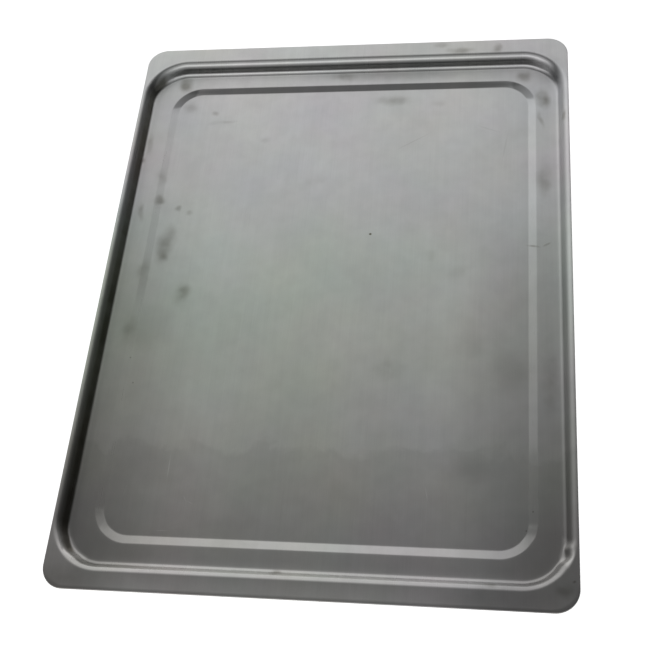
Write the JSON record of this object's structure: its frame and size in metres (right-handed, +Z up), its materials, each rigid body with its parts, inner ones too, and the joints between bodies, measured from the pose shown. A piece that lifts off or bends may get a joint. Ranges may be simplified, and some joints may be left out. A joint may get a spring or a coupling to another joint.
{
  "type": "oven tray",
  "caption": "Shallow rectangular oven tray of brushed stainless steel, with an outward rim that is wider at its ends, rounded corners and a slightly sunken floor panel.",
  "frame": {"origin": "middle of the underside of the sunken floor panel, the face the tray stands on", "axes": "+Z up, out of the tray's open side; +Y along the tray's length, towards one of its wide rims; +X across its width"},
  "size_m": [0.327, 0.435, 0.011],
  "materials": {
    "steel": "brushed along the length, lightly used: faint smears, fine scratches and small dark specks"
  },
  "bodies": {
    "root": {"pressed_tray": "steel"}
  },
  "joints": []
}
